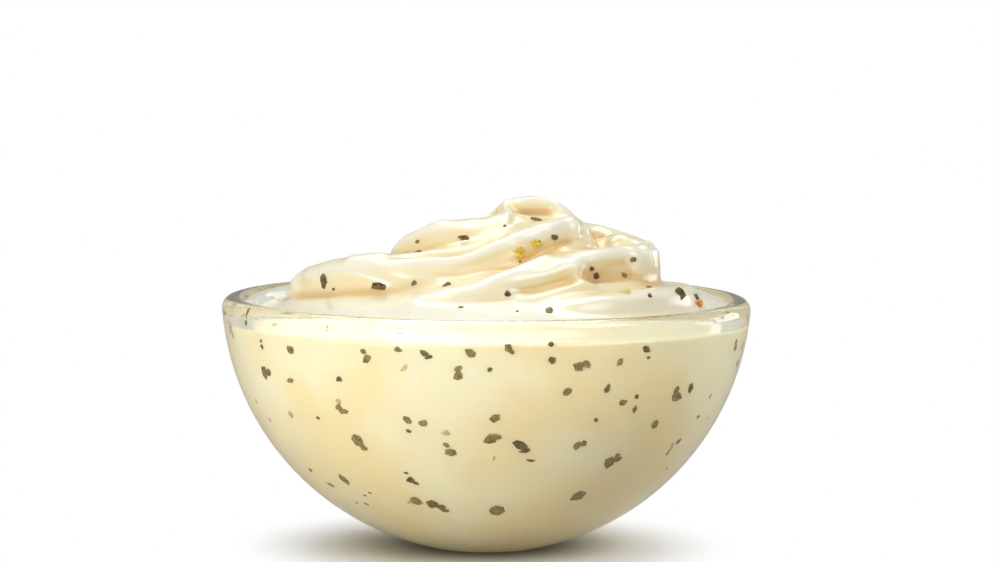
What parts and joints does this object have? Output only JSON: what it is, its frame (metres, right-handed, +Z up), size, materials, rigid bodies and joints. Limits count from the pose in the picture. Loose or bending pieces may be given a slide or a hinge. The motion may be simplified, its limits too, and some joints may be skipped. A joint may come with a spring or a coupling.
{
  "type": "glass bowl of bearnaise sauce",
  "caption": "Round clear glass bowl on a small flat foot, filled and heaped with a pale, herb-flecked butter sauce in soft swirled folds; it serves the sauce as a dip.",
  "frame": {"origin": "centre of the bowl's foot, on the surface it stands on", "axes": "+Z up; the front that is described lies towards -Y, and +X is to the right of it"},
  "size_m": [0.0898, 0.0898, 0.0596],
  "materials": {
    "glass": "polished",
    "sauce": "gloss",
    "herb": "matte"
  },
  "bodies": {
    "root": {"bowl": "glass", "sauce": "sauce"}
  },
  "joints": []
}
